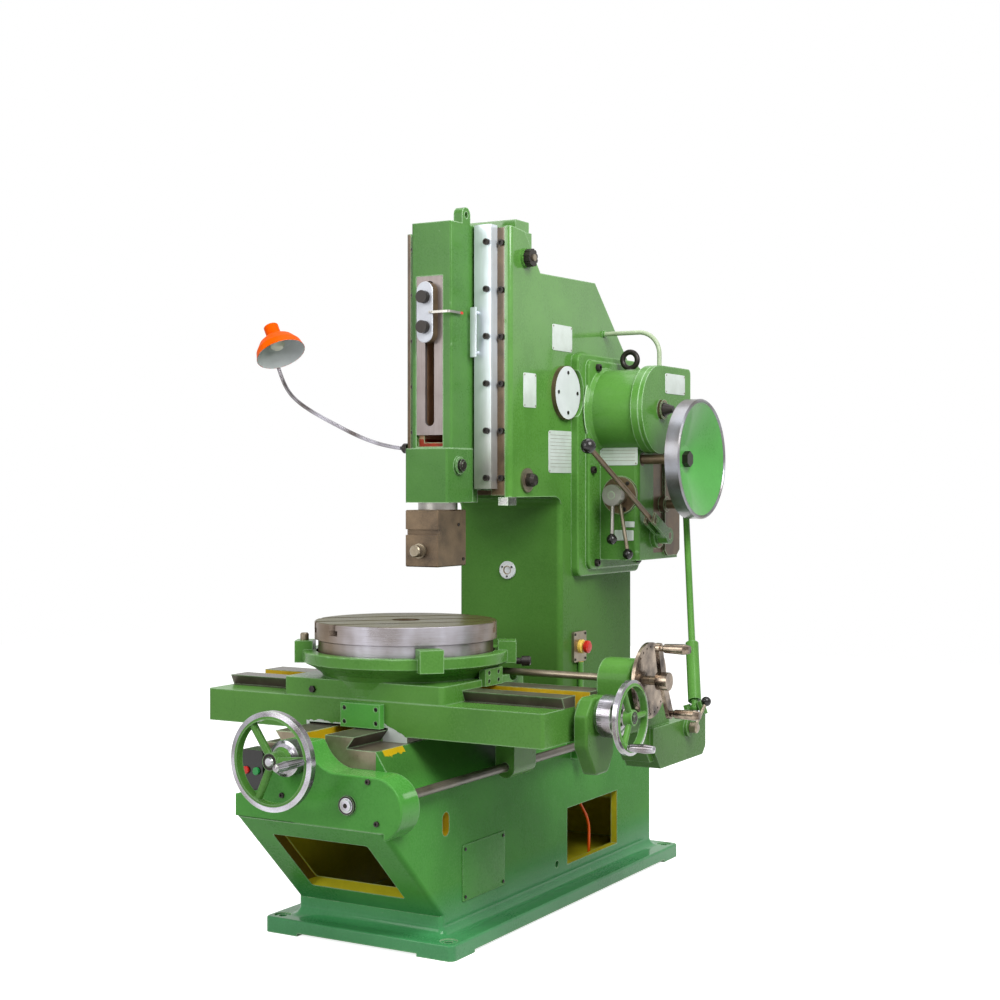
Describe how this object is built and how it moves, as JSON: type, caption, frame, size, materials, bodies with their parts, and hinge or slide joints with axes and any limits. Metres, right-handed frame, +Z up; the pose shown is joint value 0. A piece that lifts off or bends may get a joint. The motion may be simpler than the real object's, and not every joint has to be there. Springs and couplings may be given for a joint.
{
  "type": "slotting machine",
  "caption": "Floor-standing vertical slotting machine: a reciprocating ram on a tilting head above a rotary table on cross slides, with handwheels, gearbox and work lamp.",
  "frame": {"origin": "middle of the base plate, on the floor", "axes": "+X to the machine's right, +Y to its back, +Z up"},
  "size_m": [1.5121, 1.825, 1.9979],
  "materials": {
    "green_paint": "glossy hammered green enamel",
    "steel": "machined",
    "bright": "polished",
    "iron": "machined, satin",
    "dark_steel": "blackened",
    "white_paint": "gloss",
    "black_plastic": "gloss",
    "red_plastic": "gloss",
    "green_plastic": "gloss",
    "yellow_plastic": "gloss",
    "orange_paint": "gloss",
    "lamp_glass": "frosted",
    "bronze": "machined",
    "rubber": "matt",
    "tool_steel": "browned"
  },
  "bodies": {
    "frame": {"bed": "green_paint", "column": "green_paint", "front_gear_cover": "green_paint", "oil_sight": "steel", "stop_box": "yellow_plastic", "button_station": "black_plastic", "gearbox_housing": "green_paint", "gearbox_end_cover": "green_paint", "eye_bolt": "dark_steel", "oil_hose": "steel", "pivot_pins": "white_paint", "tilt_clamps": "dark_steel", "rocker_pin": "steel", "motor": "green_paint", "drive_belts": "rubber"},
    "head": {"guide_head": "green_paint", "keeper_plates": "steel", "keeper_bolts": "dark_steel"},
    "stroke": {"clamp_plate": "dark_steel", "clamp_block": "steel", "clamp_bolts": "dark_steel"},
    "ram": {"ram": "green_paint", "ram_face_plate": "steel"},
    "tool": {"tool_head": "tool_steel", "tool_screw": "bright"},
    "lamp": {"lamp_arm": "bright", "lamp_shade": "orange_paint", "lamp_bulb": "lamp_glass"},
    "saddle": {"saddle": "green_paint", "saddle_front_plate": "green_paint", "cross_bracket": "green_paint", "feed_box": "green_paint", "index_plate": "iron"},
    "cross": {"cross_slide": "green_paint", "lock_screws": "bright"},
    "table": {"rotary_table": "iron", "worm_wheel": "bronze"},
    "worm": {"worm": "steel"},
    "front_wheel": {"front_handwheel": "green_paint", "longitudinal_screw": "steel"},
    "cross_wheel": {"cross_handwheel": "green_paint", "cross_screw": "steel"},
    "index": {"index_crank": "bright", "worm_shaft": "bright"},
    "spline": {"spline_shaft": "bright"},
    "sleeve": {"feed_sleeve": "green_paint"},
    "rod": {"feed_rod": "green_paint"},
    "barring": {"barring_wheel": "green_paint", "pinion_shaft": "steel"},
    "bull": {"bull_gear": "steel"},
    "rocker": {"rocker_arm": "iron"},
    "pulley": {"driven_pulley": "iron"},
    "rotor": {"motor_rotor": "steel"},
    "emergency": {"stop_mushroom": "red_plastic"},
    "start": {"start_button": "green_plastic"},
    "stop": {"stop_button": "red_plastic"},
    "clutch": {"clutch_lever": "dark_steel"},
    "gear_front": {"gear_lever_front": "bright"},
    "gear_rear": {"gear_lever_rear": "bright"},
    "feed": {"feed_lever": "bright"}
  },
  "joints": [
    {"name": "head_tilt", "type": "hinge", "parent": "frame", "child": "head", "pos_m": [0, 0.133, 1.487], "axis": [-1, 0, 0], "range_deg": [0, 8]},
    {"name": "ram_stroke", "type": "slide", "parent": "head", "child": "stroke", "axis": [0, 0, 1], "range_m": [-0.13, 0.07]},
    {"name": "ram_adjust", "type": "slide", "parent": "stroke", "child": "ram", "axis": [0, 0, 1], "range_m": [0, 0.19]},
    {"name": "tool_swivel", "type": "hinge", "parent": "ram", "child": "tool", "pos_m": [0, -0.295, 1.15], "axis": [0, 0, 1], "range_deg": [-90, 90]},
    {"name": "lamp_swing", "type": "hinge", "parent": "frame", "child": "lamp", "pos_m": [-0.178, -0.175, 1.318], "axis": [1, 0, 0], "range_deg": [-15, 15]},
    {"name": "front_handwheel", "type": "hinge", "parent": "frame", "child": "front_wheel", "pos_m": [-0.04, -1, 0.525], "axis": [0, 1, 0], "range_deg": [-4200, 16800]},
    {"name": "saddle_travel", "type": "slide", "parent": "frame", "child": "saddle", "axis": [0, 1, 0], "range_m": [-0.07, 0.28]},
    {"name": "spline_turn", "type": "hinge", "parent": "frame", "child": "spline", "pos_m": [0.262, -0.4, 0.443], "axis": [0, 1, 0], "range_deg": [-16800, 4200]},
    {"name": "feed_sleeve_swing", "type": "hinge", "parent": "saddle", "child": "sleeve", "pos_m": [0.62, 0.095, 0.575], "axis": [0.9485, 0, 0.3167], "range_deg": [-6, 22.5]},
    {"name": "feed_rod_slide", "type": "slide", "parent": "sleeve", "child": "rod", "axis": [-0.2697, 0.524, 0.8078], "range_m": [-0.113, 0.029]},
    {"name": "cross_handwheel", "type": "hinge", "parent": "saddle", "child": "cross_wheel", "pos_m": [0.684, -0.465, 0.619], "axis": [1, 0, 0], "range_deg": [-14400, 14400]},
    {"name": "cross_travel", "type": "slide", "parent": "saddle", "child": "cross", "axis": [1, 0, 0], "range_m": [-0.24, 0.24]},
    {"name": "table_turn", "type": "hinge", "parent": "cross", "child": "table", "pos_m": [0, -0.46, 0.84], "axis": [0, 0, 1], "continuous": true},
    {"name": "index_turn", "type": "hinge", "parent": "saddle", "child": "index", "pos_m": [0.6, -0.31, 0.697], "axis": [1, 0, 0], "continuous": true},
    {"name": "worm_turn", "type": "hinge", "parent": "cross", "child": "worm", "pos_m": [0, -0.31, 0.697], "axis": [1, 0, 0], "continuous": true},
    {"name": "barring_turn", "type": "hinge", "parent": "frame", "child": "barring", "pos_m": [0.5, 0.33, 1.288], "axis": [1, 0, 0], "continuous": true},
    {"name": "bull_turn", "type": "hinge", "parent": "frame", "child": "bull", "pos_m": [0.2, 0.345, 1.44], "axis": [1, 0, 0], "continuous": true},
    {"name": "rocker_swing", "type": "hinge", "parent": "frame", "child": "rocker", "pos_m": [0, 0.545, 1.44], "axis": [1, 0, 0], "range_deg": [-6.7, 12.3]},
    {"name": "pulley_turn", "type": "hinge", "parent": "frame", "child": "pulley", "pos_m": [0.125, 0.48, 1.09], "axis": [1, 0, 0], "continuous": true},
    {"name": "rotor_turn", "type": "hinge", "parent": "frame", "child": "rotor", "pos_m": [0.125, 0.48, 0.345], "axis": [1, 0, 0], "continuous": true},
    {"name": "emergency_press", "type": "slide", "parent": "frame", "child": "emergency", "axis": [-1, 0, 0], "range_m": [0, 0.005], "stiffness_N_per_m": 900, "springref_m": -0.004},
    {"name": "start_press", "type": "slide", "parent": "frame", "child": "start", "axis": [0, 1, 0], "range_m": [0, 0.003], "stiffness_N_per_m": 700, "springref_m": -0.003},
    {"name": "stop_press", "type": "slide", "parent": "frame", "child": "stop", "axis": [0, 1, 0], "range_m": [0, 0.003], "stiffness_N_per_m": 700, "springref_m": -0.003},
    {"name": "clutch_swing", "type": "hinge", "parent": "frame", "child": "clutch", "pos_m": [0.38, 0.42, 1.053], "axis": [1, 0, 0], "range_deg": [-20, 20]},
    {"name": "gear_front_swing", "type": "hinge", "parent": "frame", "child": "gear_front", "pos_m": [0.29, 0.24, 1.179], "axis": [0, 1, 0], "range_deg": [-20, 20]},
    {"name": "gear_rear_swing", "type": "hinge", "parent": "frame", "child": "gear_rear", "pos_m": [0.29, 0.27, 1.179], "axis": [0, 1, 0], "range_deg": [-20, 20]},
    {"name": "feed_swing", "type": "hinge", "parent": "saddle", "child": "feed", "pos_m": [0.65, -0.03, 0.538], "axis": [1, 0, 0], "range_deg": [-25, 25]}
  ],
  "couplings": [
    {"joint": "saddle_travel", "follows": "front_handwheel", "m_per_rad": 0.0009549},
    {"joint": "spline_turn", "follows": "front_handwheel", "ratio": -1},
    {"joint": "feed_sleeve_swing", "follows": "front_handwheel", "ratio": 0.0013082},
    {"joint": "feed_rod_slide", "follows": "front_handwheel", "m_per_rad": -0.00038196},
    {"joint": "cross_travel", "follows": "cross_handwheel", "m_per_rad": 0.0009549},
    {"joint": "index_turn", "follows": "table_turn", "ratio": 60},
    {"joint": "worm_turn", "follows": "table_turn", "ratio": 60},
    {"joint": "bull_turn", "follows": "barring_turn", "ratio": -0.27083},
    {"joint": "rocker_swing", "follows": "ram_stroke", "rad_per_m": -1.626},
    {"joint": "rotor_turn", "follows": "pulley_turn", "ratio": 2.0787}
  ]
}
